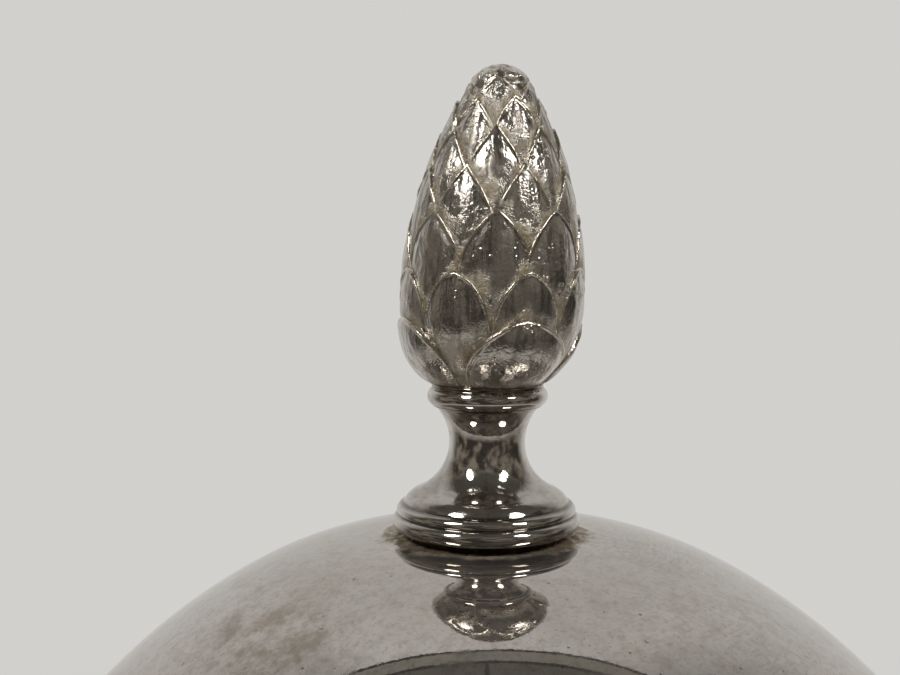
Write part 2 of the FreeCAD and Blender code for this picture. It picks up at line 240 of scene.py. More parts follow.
CHASING = (1500, 3, 0.6, 0.3)
CONE_BLOTCHES = (330, 6, 0.68, 0.9)
CONE_PITS = (2300, 3, 0.65, 0.3)
GOLD_EDGES = (800, 5, 0.75)
GOLD_CRUMBS = (1900, 4, 0.75)
BUBBLED_AREAS = (210, 3)
CONE_UNEVENNESS = (700, 4, 0.6, 0.6)
BUBBLE_SCALE = 1500.0

BRASS_MARKS = (1.0, 2, 0.5)
BRASS_TARNISH = (500, 5, 0.65)


# ---- finishes ---------------------------------------------------------------------------------
STAIN_PLACE = (-0.0175, -0.0140, SEAT_Z * MM - 0.0039)  # brown patch on the front left of the dome
STAIN_CORE = 0.0035  # metres
STAIN_REACH = 0.0080
DARKER_RING = (0.0006, 0.0045)  # metres below the seat, over which the dome is made darker round the finial's foot


def sheet_silver(name, haze, low_gloss=0.09, high_gloss=0.24, seat=False):
    """Spun silver: cloudy tarnish, marks that run round the turning, fine scratches and specks.

    With seat it is the dome's: a brown patch, and a deposit round the foot of the finial.
    """
    material, nodes, shader = new_material(name)
    place, along = turned_vector(nodes, 2600, 13.0)
    x, _, z = nodes.axes(place)
    clouds = nodes.noise(place, *CLOUDS)
    streaks = nodes.noise(along, *STREAKS)
    to_right = nodes.span(x, -0.004, 0.016, 0.12, 1.0)
    streaked = nodes.times(nodes.patches(place, STREAKED_AREAS, 0.40, 0.60), to_right)
    blotches = nodes.patches(place, BLOTCHES, 0.40, 0.64)
    tarnish = nodes.times(nodes.span(clouds, 0.34, 0.66), nodes.plus(0.35, nodes.times(blotches, 0.65)))
    clouding = nodes.times(tarnish, nodes.span(to_right, 0.0, 1.0, 0.45, 0.8))
    colour = nodes.blend(clouding, CLOUDED_SILVER, DULL_CLOUD)
    colour = nodes.tint(colour, nodes.patches(place, ROSY_AREAS, 0.44, 0.60), 0.35, ROSY_CLOUD)
    colour = nodes.tint(colour, nodes.patches(place, GRAIN, 0.42, 0.66), 0.50, DULL_CLOUD)
    colour = nodes.tint(colour, nodes.patches(place, GRIT, 0.50, 0.66), 0.28, BROWN_TARNISH)
    pale = nodes.times(nodes.span(streaks, 0.50, 0.68), streaked)
    colour = nodes.tint(colour, pale, 0.75, PALE_STREAK)
    scuffs = nodes.times(nodes.span(streaks, 0.46, 0.34), streaked)
    colour = nodes.tint(colour, scuffs, 0.38, BROWN_TARNISH)
    stained = nodes.patches(place, STAINED_AREAS, 0.54, 0.66)
    if seat:
        edge = nodes.patches(place, STAIN_EDGE, 0.3, 0.7, -STAIN_CORE, STAIN_CORE)
        edge = nodes.plus(nodes.apart(place, STAIN_PLACE), edge)
        patch = nodes.span(edge, STAIN_CORE, STAIN_REACH, 1.0, 0.0)
        stained = nodes.math("MAXIMUM", nodes.times(stained, 0.45), patch)
    stain = nodes.times(stained, nodes.patches(place, STAIN_MOTTLE, 0.36, 0.66))
    colour = nodes.tint(colour, stain, 0.62, BROWN_TARNISH)
    if seat:
        # A ring round the finial's foot is made darker.
        ring = nodes.span(nodes.minus(SEAT_Z * MM, z), *DARKER_RING, 0.30, 0.0)
        colour = nodes.blend(ring, colour, DULL_SILVER)
    specks = nodes.times(nodes.patches(place, SPECKS, 0.72, 0.77), nodes.span(clouds, 0.44, 0.56))
    colour = nodes.tint(colour, specks, 0.7, BLACK_TARNISH)
    wear = nodes.total((tarnish, 0.6), (stain, 0.8))
    gloss = nodes.span(wear, 0.0, 1.0, low_gloss, high_gloss)
    metal = nodes.minus(1.0, nodes.times(nodes.plus(0.55, nodes.times(tarnish, 0.45)), haze))
    height = nodes.total(
        (nodes.times(streaks, streaked), 0.30),
        (nodes.noise(place, *FINE_SCRATCHES), 0.08),
        (nodes.noise(place, *SHALLOW_DENTS), 0.45),
        (stain, 1.1),
    )
    if seat:
        crust = nodes.attribute("crust")
        crumbs = nodes.plus(0.35, nodes.times(nodes.patches(place, CRUMBS, 0.30, 0.62), 0.65))
        deposit = nodes.times(crust, crumbs, clamp=True)
        tones = nodes.blend(nodes.noise(place, *CRUST_TONES), BROWN_TARNISH, CRUST)
        colour = nodes.blend(deposit, colour, tones)
        gloss = nodes.plus(gloss, nodes.times(deposit, 0.45), clamp=True)
        metal = nodes.minus(metal, nodes.times(deposit, 0.75), clamp=True)
        lumps = nodes.times(crust, nodes.noise(place, *CRUST_LUMPS))
        height = nodes.plus(height, nodes.times(lumps, 6.0))
    nodes.link(colour, shader.inputs["Base Color"])
    nodes.link(gloss, shader.inputs["Roughness"])
    nodes.link(metal, shader.inputs["Metallic"])
    nodes.relief(shader, height, 0.35, 0.00002)
    return material


def cast_silver(name, turned):
    """Cast and finished silver: bright, with soft hammering, pits and brown tarnish in patches."""
    material, nodes, shader = new_material(name)
    place, along = turned_vector(nodes, 1500, 4.0)
    marks = nodes.noise(along, *TURNING_MARKS) if turned else nodes.noise(place, *FILING_MARKS)
    marks = nodes.span(marks, 0.48, 0.70)
    blotches = nodes.patches(place, CAST_BLOTCHES, 0.46, 0.70)
    colour = nodes.tint(SILVER, blotches, 0.75, DULL_SILVER)
    colour = nodes.tint(colour, marks, 0.30, BROWN_TARNISH)
    # Dirt and painted shade from the spool's attribute: its grooves and the undercut under its foot are
    # darkened.
    edges = nodes.patches(place, DIRT_AND_SHADE_EDGES, 0.20, 0.55, 0.45, 1.0)
    dirt_and_shade = nodes.times(nodes.attribute("dirt_and_shade"), edges)
    colour = nodes.tint(colour, dirt_and_shade, 0.92, DIRT_AND_SHADE)
    colour = nodes.tint(colour, nodes.patches(place, CAST_PITS, 0.66, 0.74), 0.45, BLACK_TARNISH)
    gloss = nodes.span(nodes.total((blotches, 0.7), (marks, 0.3)), 0.0, 1.0, 0.05, 0.2)
    height = nodes.total((nodes.noise(place, *HAMMERING), 1.2), (nodes.noise(place, *CAST_SKIN), 0.35))
    nodes.link(colour, shader.inputs["Base Color"])
    nodes.link(gloss, shader.inputs["Roughness"])
    shader.inputs["Metallic"].default_value = 0.97
    nodes.relief(shader, height, 0.5, 0.00003)
    return material


def cone_silver(name):
    """The cone: chased lines along the scales, golden tarnish beside their edges, rubbed rims painted
    pale, as wear and partly as a painted highlight.
    """
    material, nodes, shader = new_material(name)
    place = nodes.add("TexCoord").outputs["Object"]
    recess = nodes.attribute("recess")
    upright = nodes.add("Mapping", {"Vector": place, "Scale": (1.0, 1.0, 0.16)}).outputs["Vector"]
    lines = nodes.noise(upright, *CHASING)
    pits = nodes.noise(place, *CONE_PITS)
    blotches = nodes.patches(place, CONE_BLOTCHES, 0.42, 0.66)
    gold_edges = nodes.patches(place, GOLD_EDGES, 0.36, 0.60)
    gold = nodes.times(nodes.span(recess, 0.15, 0.95), gold_edges, clamp=True)
    cells = nodes.add("TexVoronoi", {"Vector": place, "Scale": BUBBLE_SCALE}).outputs["Distance"]
    bubbled = nodes.patches(place, BUBBLED_AREAS, 0.52, 0.62)
    bubbles = nodes.times(nodes.span(cells, 0.10, 0.34, 1.0, 0.0), bubbled)
    colour = nodes.tint(SILVER, blotches, 0.5, DULL_SILVER)
    colour = nodes.tint(colour, nodes.span(lines, 0.50, 0.66), 0.55, CHASED_LINE)
    colour = nodes.tint(colour, gold, 0.9, GOLD_TARNISH)
    colour = nodes.tint(colour, nodes.span(recess, 0.86, 1.0), 0.55, BROWN_TARNISH)
    # Rims painted pale: rubbed wear and a painted highlight along the scales' edges.
    colour = nodes.tint(colour, nodes.attribute("rim"), 0.75, RUBBED_AND_HIGHLIT_RIM)
    colour = nodes.tint(colour, nodes.span(pits, 0.64, 0.72), 0.5, BLACK_TARNISH)
    colour = nodes.tint(colour, bubbles, 0.35, PALE_STREAK)
    gloss = nodes.span(nodes.total((blotches, 0.6), (recess, 0.4)), 0.0, 1.0, 0.14, 0.40)
    gloss = nodes.plus(gloss, nodes.times(gold, 0.16))
    metal = nodes.minus(0.97, nodes.times(gold, 0.30))
    height = nodes.total(
        (lines, 1.8),
        (pits, 1.4),
        (bubbles, 2.0),
        (nodes.times(gold, nodes.noise(place, *GOLD_CRUMBS)), 7.0),
        (nodes.noise(place, *CONE_UNEVENNESS), 3.0),
    )
    nodes.link(colour, shader.inputs["Base Color"])
    nodes.link(gloss, shader.inputs["Roughness"])
    nodes.link(metal, shader.inputs["Metallic"])
    nodes.relief(shader, height, 0.75, 0.00004)
    return material


def brass(name):
    """Turned brass of the fixings, dark where it has tarnished."""
    material, nodes, shader = new_material(name)
    place, along = turned_vector(nodes, 5000, 2.0)
    tarnish = nodes.patches(place, BRASS_TARNISH, 0.42, 0.66)
    nodes.link(nodes.blend(tarnish, BRASS, DARK_BRASS), shader.inputs["Base Color"])
    nodes.link(nodes.span(tarnish, 0.0, 1.0, 0.22, 0.48), shader.inputs["Roughness"])
    shader.inputs["Metallic"].default_value = 0.95
    nodes.relief(shader, nodes.noise(along, *BRASS_MARKS), 0.4, 0.00002)
    return material


# ---- turned pieces ----------------------------------------------------------------------------
MERGE_DISTANCE = 1e-7  # metres


def arc_points(centre, radius, first, last, count):
    """Points along an arc, angles in degrees from +r towards +z."""
    points = []
    for step in range(count + 1):
        angle = math.radians(first + (last - first) * step / count)
        points.append((centre[0] + radius * math.cos(angle), centre[1] + radius * math.sin(angle)))
    return points


def revolve(build, profile, steps, closed):
    """Turns (r, z) points in millimetres about Z, in metres."""
    ring = [build.verts.new((r * MM, 0, z * MM)) for r, z in profile]
    ends = [(ring[-1], ring[0])] if closed else []
    edges = [build.edges.new(pair) for pair in [*zip(ring, ring[1:]), *ends]]
    bmesh.ops.spin(build, geom=ring + edges, cent=(0, 0, 0), axis=(0, 0, 1), dvec=(0, 0, 0),
                   angle=math.tau, steps=steps, use_merge=True)
    bmesh.ops.remove_doubles(build, verts=build.verts, dist=MERGE_DISTANCE)
    bmesh.ops.recalc_face_normals(build, faces=build.faces)


def spun(name, profile, steps):
    """A piece of revolution with a closed outline."""
    build = bmesh.new()
    revolve(build, profile, steps, closed=True)
    return finished(name, build)


def finished(name, build):
    """A smooth object from a built mesh."""
    for face in build.faces:
        face.smooth = True
    mesh = bpy.data.meshes.new(name)
    build.to_mesh(mesh)
    build.free()
    piece = bpy.data.objects.new(name, mesh)
    bpy.context.scene.collection.objects.link(piece)
    return piece


def lean(piece, places):
    """Moves each vertex sideways by the amount found for its height in (z, x) places."""
    for vertex in piece.data.vertices:
        height = vertex.co.z / MM - SEAT_Z
        for (z0, x0), (z1, x1) in zip(places, places[1:]):
            if height <= z1 or (z1, x1) == places[-1]:
                share = (height - z0) / (z1 - z0)
                vertex.co.x += (x0 + (x1 - x0) * share) * MM
                break


def wobble(piece, depth, scale, seed):
    """Small, smooth unevenness of hand work, along the vertex normals."""
    offset = Vector((seed * 3.7, seed * 1.3, seed * 2.1))
    normals = [vertex.normal.copy() for vertex in piece.data.vertices]
    for vertex, normal in zip(piece.data.vertices, normals):
        vertex.co += normal * noise.noise(vertex.co * scale + offset) * depth * MM


# ---- the dome of the lid ----------------------------------------------------------------------
SEAT_RADIUS = 7.8
CROWN_SHARE, CROWN_SLOPE = 0.695, 28.0  # radius as a share of the dome's, slope at its end
FLANK_SHARE, FLANK_SLOPE = 1.21, 52.0
FOOT_SLOPE = 84.0
DOME_SPANS = 260
BLUR_REACH, BLUR_STEPS = 2.4, 6  # mm of length on each side over which the slope is averaged
DOME_TURNS = 256
LID_WALL = 1.0
INSIDE_STRIDE = 4  # outside points to each inside point
STUD_HOLE = 2.1

FOOT_SHIFT = -0.6  # mm that the finial's foot stands to the left of the dome's middle
CRUST_RADIUS = 8.75  # of the deposit round the finial's foot
CRUST_SIDES = 1.15  # how much further it reaches to the left and right
CRUST_PATCHES = (0.9, 0.25)  # how far its outline wanders, in broad and in small waves
CRUST_EDGE = 0.8  # mm over which it thins out
CRUST_THICKNESS = (0.10, 0.16)  # everywhere, and what the sides add
CRUST_DROP, CRUST_LIMIT = 1.2, 14.0  # mm below the seat and from its middle, beyond which is none
FACING_UP = 0.3


def dome_section():
    """Outside of the dome from seat to foot, its slope softened where its bends meet."""
    crown = CROWN_SHARE * DOME_FOOT_RADIUS
    flank = FLANK_SHARE * DOME_FOOT_RADIUS
    sines = [math.sin(math.radians(a)) for a in (CROWN_SLOPE, FLANK_SLOPE, FOOT_SLOPE)]
    left = DOME_FOOT_RADIUS - SEAT_RADIUS - crown * sines[0] - flank * (sines[1] - sines[0])
    turn = left / (sines[2] - sines[1])
    bends = [(SEAT_RADIUS, 0.0, 0.0)]
    slopes = (0.0, CROWN_SLOPE, FLANK_SLOPE, FOOT_SLOPE)
    for radius, first, last in zip((crown, flank, turn), slopes, slopes[1:]):
        bends.append((radius * math.radians(last - first), first, last))

    def slope_at(run):
        for length, first, last in bends:
            if run <= length:
                return first + (last - first) * run / length
            run -= length
        return FOOT_SLOPE

    points = [(0.0, 0.0)]
    step = sum(length for length, _, _ in bends) / DOME_SPANS
    blur = [BLUR_REACH * (k / BLUR_STEPS - 1) for k in range(2 * BLUR_STEPS + 1)]
    for index in range(DOME_SPANS):
        run = (index + 0.5) * step
        slope = math.radians(sum(slope_at(max(run + shift, 0)) for shift in blur) / len(blur))
        r, z = points[-1]
        points.append((r + step * math.cos(slope), z - step * math.sin(slope)))
    stretch_r = DOME_FOOT_RADIUS / points[-1][0]
    stretch_z = (SEAT_Z - DOME_FOOT_Z) / -points[-1][1]
    return [(r * stretch_r, SEAT_Z + z * stretch_z) for r, z in points]


def crust_at(x, y):
    """How full the deposit is at a place in mm from the foot's middle, and how thick."""
    side = abs(math.cos(math.atan2(y, x))) ** 3
    broad, small = CRUST_PATCHES
    outer = CRUST_RADIUS + CRUST_SIDES * side + broad * noise.noise(Vector((x, y, 3.3)) * 0.55)
    outer += small * noise.noise(Vector((x, y, 8.1)) * 2.3)
    amount = min(max((outer - math.hypot(x, y)) / CRUST_EDGE, 0), 1)
    lump = noise.noise(Vector((x, y, 5.5)) * 1.3) + 0.4 * noise.noise(Vector((x, y, 1.5)) * 2.2)
    everywhere, sides = CRUST_THICKNESS
    return amount, amount * (everywhere + sides * side) * max(0.35 + lump, 0)


def lid_dome():
    outside = [(STUD_HOLE, SEAT_Z)] + [point for point in dome_section() if point[0] > STUD_HOLE]
    inside = []
    for (r0, z0), (r1, z1) in zip(outside[::INSIDE_STRIDE], outside[INSIDE_STRIDE::INSIDE_STRIDE]):
        slope = math.atan2(z0 - z1, r1 - r0)
        r = max(r0 - LID_WALL * math.sin(slope), STUD_HOLE)
        inside.append((r, z0 - LID_WALL * math.cos(slope)))
    inside.append((DOME_FOOT_RADIUS - LID_WALL, DOME_FOOT_Z))
    piece = spun("lid_dome_skin", outside + inside[::-1], DOME_TURNS)
    crust = piece.data.attributes.new("crust", "FLOAT", "POINT")
    amounts = []
    upward = [vertex.normal.z > FACING_UP for vertex in piece.data.vertices]
    for vertex, faces_up in zip(piece.data.vertices, upward):
        x, y = vertex.co.x / MM - FOOT_SHIFT, vertex.co.y / MM
        amount = 0.0
        if faces_up and vertex.co.z / MM > SEAT_Z - CRUST_DROP and math.hypot(x, y) < CRUST_LIMIT:
            amount, thickness = crust_at(x, y)
            vertex.co.z += thickness * MM
        amounts.append(amount)
    crust.data.foreach_set("value", amounts)
    wobble(piece, depth=0.035, scale=90, seed=1)
    return piece


# ---- the finial -------------------------------------------------------------------------------
# How far the finial lies off the axis: height above the seat, mm to the right.
LEAN = [(-1.0, -0.62), (0.0, -0.6), (13.75, -0.42), (20.0, -0.15), (42.0, 0.66)]


def flare(waist, end, count):
    """Arc that leaves the waist upright and runs out to the end point."""
    run, rise = end[0] - waist[0], end[1] - waist[1]
    radius = (run * run + rise * rise) / (2 * run)
    centre = (waist[0] + radius, waist[1])
    last = math.degrees(math.atan2(rise, run - radius)) % 360
    return arc_points(centre, radius, 180, last, count)


def bulge(start, end, depth, count):
    """Arc between two points that swells by depth to the right of the way it goes."""
    chord = math.dist(start, end)
    radius = (chord * chord / 4 + depth * depth) / (2 * depth)
    half = math.degrees(math.asin(min(chord / 2 / radius, 1)))
    if depth > chord / 2:
        half = 180 - half
    facing = math.degrees(math.atan2(end[1] - start[1], end[0] - start[0])) - 90
    middle = ((start[0] + end[0]) / 2, (start[1] + end[1]) / 2)
    outward, back = math.radians(facing), depth - radius
    centre = (middle[0] + back * math.cos(outward), middle[1] + back * math.sin(outward))
    return arc_points(centre, radius, facing - half, facing + half, count)


# Where the spool is darkened, as dirt and as painted shade under the foot's torus and in the grooves:
# height, width of the band, and how thick it is.
SHADE_AND_DIRT_LINES = [
    (0.45, 0.80, 1.0),
    (2.15, 0.15, 0.9),
    (3.06, 0.14, 0.8),
    (4.6, 1.5, 0.30),
    (11.7, 0.16, 0.8),
    (13.5, 0.22, 0.9),
]
SPOOL_TURNS = 320
SPOOL_WAIST = (3.42, 8.4)


def shade_and_dirt_at(height):
    """How much dirt and painted shade there is on the spool at a height above the seat."""
    return min(sum(depth * math.exp(-(((height - middle) / width) ** 2))
                   for middle, width, depth in SHADE_AND_DIRT_LINES), 1)


def finial_spool():
    # Outline as (radius, height above the seat): base moulding, step, flared stem, collar, top.
    section = [(1.8, 0.0), (6.0, 0.0), (7.15, 0.02), (7.25, 0.30), (7.60, 0.62), (8.0, 0.72)]
    section += bulge((8.14, 0.78), (8.02, 2.06), 0.34, 16)
    section += [(7.96, 2.12), (7.97, 2.17)]
    section += bulge((8.02, 2.2), (7.66, 2.98), 0.16, 8)
    section += [(7.56, 3.02), (7.50, 3.04), (7.44, 3.08)]
    section += bulge((7.40, 3.12), (6.45, 4.1), 0.10, 8)
    section += flare(SPOOL_WAIST, (6.45, 4.1), 26)[::-1][1:]
    section += flare(SPOOL_WAIST, (4.62, 11.62), 16)[1:]
    section += [(4.80, 11.72), (4.92, 11.74), (4.95, 11.80)]
    section += bulge((4.98, 11.84), (5.12, 13.28), 0.36, 16)
    section += [(5.02, 13.36), (4.98, 13.44), (5.0, 13.56), (5.0, 13.75), (1.8, 13.75)]
    piece = spun("finial_spool_turned", [(r, z + SEAT_Z) for r, z in section], SPOOL_TURNS)
    # Dirt and painted shade per vertex: darker under the foot's torus and in the grooves.
    dirt_and_shade = piece.data.attributes.new("dirt_and_shade", "FLOAT", "POINT")
    heights = [vertex.co.z / MM - SEAT_Z for vertex in piece.data.vertices]
    dirt_and_shade.data.foreach_set("value", [shade_and_dirt_at(height) for height in heights])
    wobble(piece, depth=0.05, scale=260, seed=2)
    lean(piece, LEAN)
    return piece


# ---- the cone on the finial -------------------------------------------------------------------
CONE_FOOT_Z = SPOOL_HEIGHT
CONE_BELLY_Z = CONE_FOOT_Z + 6.8
CONE_TIP_RADIUS = 3.06
CONE_LOW_RADIUS = 9.6
CONE_FLANK_RADIUS = 38.7
CONE_TOP_Z = CONE_FOOT_Z + CONE_HEIGHT
NORMAL_STEP = 0.02


def cone_radius(z):
    """Radius of the cone's smooth form at a height above the seat."""
    if z < CONE_BELLY_Z:
        drop = min(CONE_BELLY_Z - z, CONE_LOW_RADIUS)
        return CONE_RADIUS - CONE_LOW_RADIUS + math.sqrt(CONE_LOW_RADIUS**2 - drop**2)
    tip_centre = CONE_TOP_Z - CONE_TIP_RADIUS
    flank_angle = math.asin((tip_centre - CONE_BELLY_Z) / (CONE_FLANK_RADIUS - CONE_TIP_RADIUS))
    join = tip_centre + CONE_TIP_RADIUS * math.sin(flank_angle)
    if z < join:
        flank = math.sqrt(CONE_FLANK_RADIUS**2 - (z - CONE_BELLY_Z) ** 2)
        return CONE_RADIUS - CONE_FLANK_RADIUS + flank
    return math.sqrt(max(CONE_TIP_RADIUS**2 - (z - tip_centre) ** 2, 0))


def cone_normal(z):
    """Outward direction (r, z) of the cone's form at a height."""
    low, high = max(z - NORMAL_STEP, CONE_FOOT_Z - 1), min(z + NORMAL_STEP, CONE_TOP_Z)
    fall = (cone_radius(high) - cone_radius(low)) / (high - low)
    size = math.hypot(1, fall)
    return 1 / size, -fall / size


# One row of scales each: tip height, first angle, how many, half width in degrees, depth of the
# arch, how pointed it is, how far the scale stands out at its tip, and how far it swells.
ROWS = [
    (19.7, 19.0, 4, 38.5, 5.7, 0.08, 0.12, 0.42),
    (23.95, 21.0, 8, 22.9, 4.7, 0.20, 0.08, 0.26),
    (28.75, -2.0, 8, 23.0, 5.0, 0.38, 0.06, 0.26),
    (32.75, 20.5, 8, 23.2, 4.6, 0.66, 0.04, 0.24),
    (36.05, -3.5, 8, 23.6, 4.1, 0.60, 0.02, 0.20),
    (38.6, 20.0, 7, 26.5, 3.1, 0.45, -0.04, 0.13),
    (40.35, -6.0, 5, 37.0, 2.2, 0.40, -0.12, 0.08),
]
FRONT_STAND, FRONT_SWELL = 0.24, 0.90  # the fuller scale at the front of the lowest row
SCALE_SEED = 5
CORE_STEPS = 96
CORE_TURNS = 96
CORE_INSET = 0.45  # of the form under the scales
CORE_RECESS = 0.6
CAP_LOW, CAP_HIGH = 39.3, 40.5  # heights between which the bare cap comes out to its full size
RIM_STEPS = (0.0, 0.035, 0.08, 0.15, 0.22, 0.30, 0.40, 0.56)  # mm in from a scale's outline
BODY_STEPS = 16
SCALE_COLUMNS = 30
SCALE_ROOT = 0.8  # the closed back of each scale, as a share of its distance from the axis
SCALE_LENGTH = 2.25  # from tip to root, in depths of the arch
LEAST_LENGTH = 0.4
STEEPEST_EDGE = 4.0
ROOT_SINK = 0.36  # how far a scale's root lies under the cone's smooth form
SIDE_SINK = 0.17
GAP_SINK = 0.10  # where a scale comes out from behind the row below
EDGE_WALL, EDGE_SINK, EDGE_RISE = 0.035, 0.62, 0.56  # the wall round a scale, in mm
OUT_OF_REACH = 9.0  # mm, for a place with no edge near it
DEGREES_IN_RADIAN = 57.3

Scale = namedtuple("Scale", "row angle tip half depth pointed stand swell")


def arch(share, pointed):
    """How far an arch has fallen, from 0 at its tip to 1 at its ends."""
    share = min(abs(share), 1.0)
    return pointed * share + (1 - pointed) * (1 - math.sqrt(1 - share * share))


def scales():
    """Every scale, from the lowest row up, each a little off its even place and size."""
    jitter = random.Random(SCALE_SEED).uniform
    layout = []
    for row, (tip, first, count, half, depth, pointed, stand, swell) in enumerate(ROWS):
        for index in range(count):
            at_front = (row, index) == (0, 0)
            layout.append(Scale(
                row=row,
                angle=first + 360 / count * index + jitter(-1.3, 1.3) * (row > 0),
                tip=tip + jitter(-0.22, 0.22),
                half=half * jitter(0.97, 1.05),
                depth=depth * jitter(0.95, 1.06),
                pointed=pointed + jitter(-0.10, 0.12),
                stand=(FRONT_STAND if at_front else stand) + jitter(-0.03, 0.03),
                swell=FRONT_SWELL if at_front else swell,
            ))
    return layout


def angle_between(a, b):
    return (a - b + 180) % 360 - 180


def edge_distance(layout, row, angle, z):
    """Distance in mm that a point lies above the nearest arch edge of the two rows below row."""
    nearest = OUT_OF_REACH
    for other in layout:
        if row - 2 <= other.row < row:
            share = angle_between(angle, other.angle) / other.half
            if abs(share) < 1.15:
                edge = other.tip - other.depth * arch(share, other.pointed)
                width = other.half / DEGREES_IN_RADIAN * cone_radius(z) + 0.5
                slope = other.depth * (abs(share) ** 3 + 0.2) * 2.2 / width
                nearest = min(nearest, max((z - edge) / math.hypot(1, slope), 0))
    return nearest


def edge_profile(inward, strength):
    """Height of a scale's edge, by distance in from its outline: a wall, a fine rim, the body."""
    if inward < EDGE_WALL:
        return -EDGE_SINK + EDGE_RISE * inward / EDGE_WALL
    rim = 0.095 * math.exp(-(((inward - 0.15) / 0.12) ** 2))
    return (rim - 0.03 * math.exp(-(((inward - 0.42) / 0.16) ** 2))) * strength


def cone_core(build, recess_layer):
    """The body under the scales, whose rough cap stays bare."""
    profile = [(0.0, CONE_FOOT_Z + SEAT_Z)]
    for step in range(CORE_STEPS):
        z = CONE_FOOT_Z + CONE_HEIGHT * math.sin(math.pi / 2 * step / CORE_STEPS)
        bare = min(max((z - CAP_LOW) / (CAP_HIGH - CAP_LOW), 0), 1)
        inset = CORE_INSET * (1 - bare) * (z < CONE_TOP_Z - 0.01)
        profile.append((max(cone_radius(z) - inset, 0.0), z + SEAT_Z))
    profile.append((0.0, CONE_TOP_Z + SEAT_Z))
    revolve(build, profile, CORE_TURNS, closed=False)
    for vertex in build.verts:
        height = vertex.co.z / MM - SEAT_Z
        vertex[recess_layer] = CORE_RECESS
        if height > CAP_LOW:
            place = vertex.co / MM
            grain = noise.noise(place * 1.1) * 0.09 + noise.noise(place * 2.6) * 0.05 - 0.06
            outward = Vector((vertex.co.x, vertex.co.y, (height - CAP_LOW) * MM)).normalized()
            vertex.co += outward * grain * MM
            vertex[recess_layer] = min(max(0.2 + 1.2 * noise.noise(vertex.co / MM * 1.9), 0), 1)


def scale_place(scale, low, column, index):
    """Share of the half width, height, and distance in from the outline of one grid point."""
    share = math.sin(math.pi / 2 * max(-1, min(1, column)))
    top = max(scale.tip - scale.depth * arch(share, scale.pointed), low + LEAST_LENGTH)
    width = math.radians(scale.half) * cone_radius(scale.tip - scale.depth * 0.6)
    fall = abs(share) / math.sqrt(max(1 - share * share, 0.04))
    slope = scale.depth * (scale.pointed + (1 - scale.pointed) * fall) / width
    tilt = math.hypot(1, min(slope, STEEPEST_EDGE))
    length = top - low
    if index < len(RIM_STEPS):
        down = min(RIM_STEPS[index] * tilt, length * (0.05 + 0.9 * index / len(RIM_STEPS)))
    else:
        start = min(RIM_STEPS[-1] * tilt, length * 0.9)
        down = start + (length - start) * (index - len(RIM_STEPS) + 1) / BODY_STEPS
    return share, top - down, down / tilt


def scale_height(scale, share, angle, z, rise, inward, gap):
    """How far a scale's front lies outside the cone's smooth form, without its edge."""
    row, side = scale.row, share * share
    if row == 0:
        off = scale.stand * min(rise * 2.2, 1.0) - 0.05
    else:
        off = -ROOT_SINK + (ROOT_SINK + scale.stand) * max(rise, 0) ** 0.9
    fullness = math.sin(math.pi * min(max(rise, 0), 1)) ** (0.62 if row == 0 else 0.85)
    off += scale.swell * (1 - side ** 1.5) * fullness - SIDE_SINK * side
    ridge = math.exp(-((share / 0.16) ** 2)) * 0.05 * (row > 1) * rise
    flute = 0.022 * math.sin(share * 21 + scale.angle) * (1 - side) * (row > 0)
    uneven = 0.05 * noise.noise(Vector((angle * 0.11, z * 0.5, row)))
    off += (ridge + flute + uneven) * min(inward / 0.3, 1)
    return off - GAP_SINK * math.exp(-gap / 0.4) * (row > 0)


def add_scale(build, layout, layers, scale):
    """One scale: a front with a fine raised rim, closed by a back drawn in under it."""
    recess_layer, rim_layer = layers
    row = scale.row
    last = len(RIM_STEPS) + BODY_STEPS - 1
    grid = bmesh.ops.create_grid(build, x_segments=SCALE_COLUMNS, y_segments=last, size=1.0)["verts"]
    low = CONE_FOOT_Z + 0.02
    if row:
        low = max(scale.tip - scale.depth * SCALE_LENGTH, CONE_FOOT_Z + 0.05)
    for vertex in grid:
        index = int(round((1 - vertex.co.y) / 2 * last))
        share, z, inward = scale_place(scale, low, vertex.co.x, index)
        angle = scale.angle + scale.half * share
        rise = (z - low) / (scale.tip - low)
        gap = edge_distance(layout, row, angle, z) if row else max(z - CONE_FOOT_Z, 0) * 1.4
        off = scale_height(scale, share, angle, z, rise, inward, gap)
        broken = 1 + 1.3 * noise.noise(Vector((angle * 0.16, z * 0.9, row + 7.0)))
        off += edge_profile(inward, min(max(broken, 0.15), 1.6))
        normal_r, normal_z = cone_normal(z)
        reach = cone_radius(z) + off * normal_r
        turn = math.radians(angle - 90)
        height = SEAT_Z + z + off * normal_z
        vertex.co = Vector((reach * math.cos(turn), reach * math.sin(turn), height)) * MM
        worn = 0.75 + 0.9 * noise.noise(Vector((angle * 0.09, z * 0.45, row + 3.0)))
        vertex[recess_layer] = min(max(worn, 0.1), 1) * math.exp(-((gap / 1.15) ** 1.6))
        # Where a scale's rim is painted pale, as wear and as a painted highlight, broken up by noise.
        vertex[rim_layer] = min(max(broken, 0), 1) * math.exp(-(((inward - 0.13) / 0.13) ** 2))
    close_back(build, grid)


def close_back(build, grid):
    """Walls drawn in from the border of a grid, and a face that closes their ends."""
    border = dict.fromkeys(edge for vertex in grid for edge in vertex.link_edges if edge.is_boundary)
    walls = bmesh.ops.extrude_edge_only(build, edges=list(border))["geom"]
    for item in walls:
        if isinstance(item, bmesh.types.BMVert):
            item.co.x *= SCALE_ROOT
            item.co.y *= SCALE_ROOT
    ends = [item for item in walls if isinstance(item, bmesh.types.BMEdge) and item.is_boundary]
    bmesh.ops.edgeloop_fill(build, edges=ends)


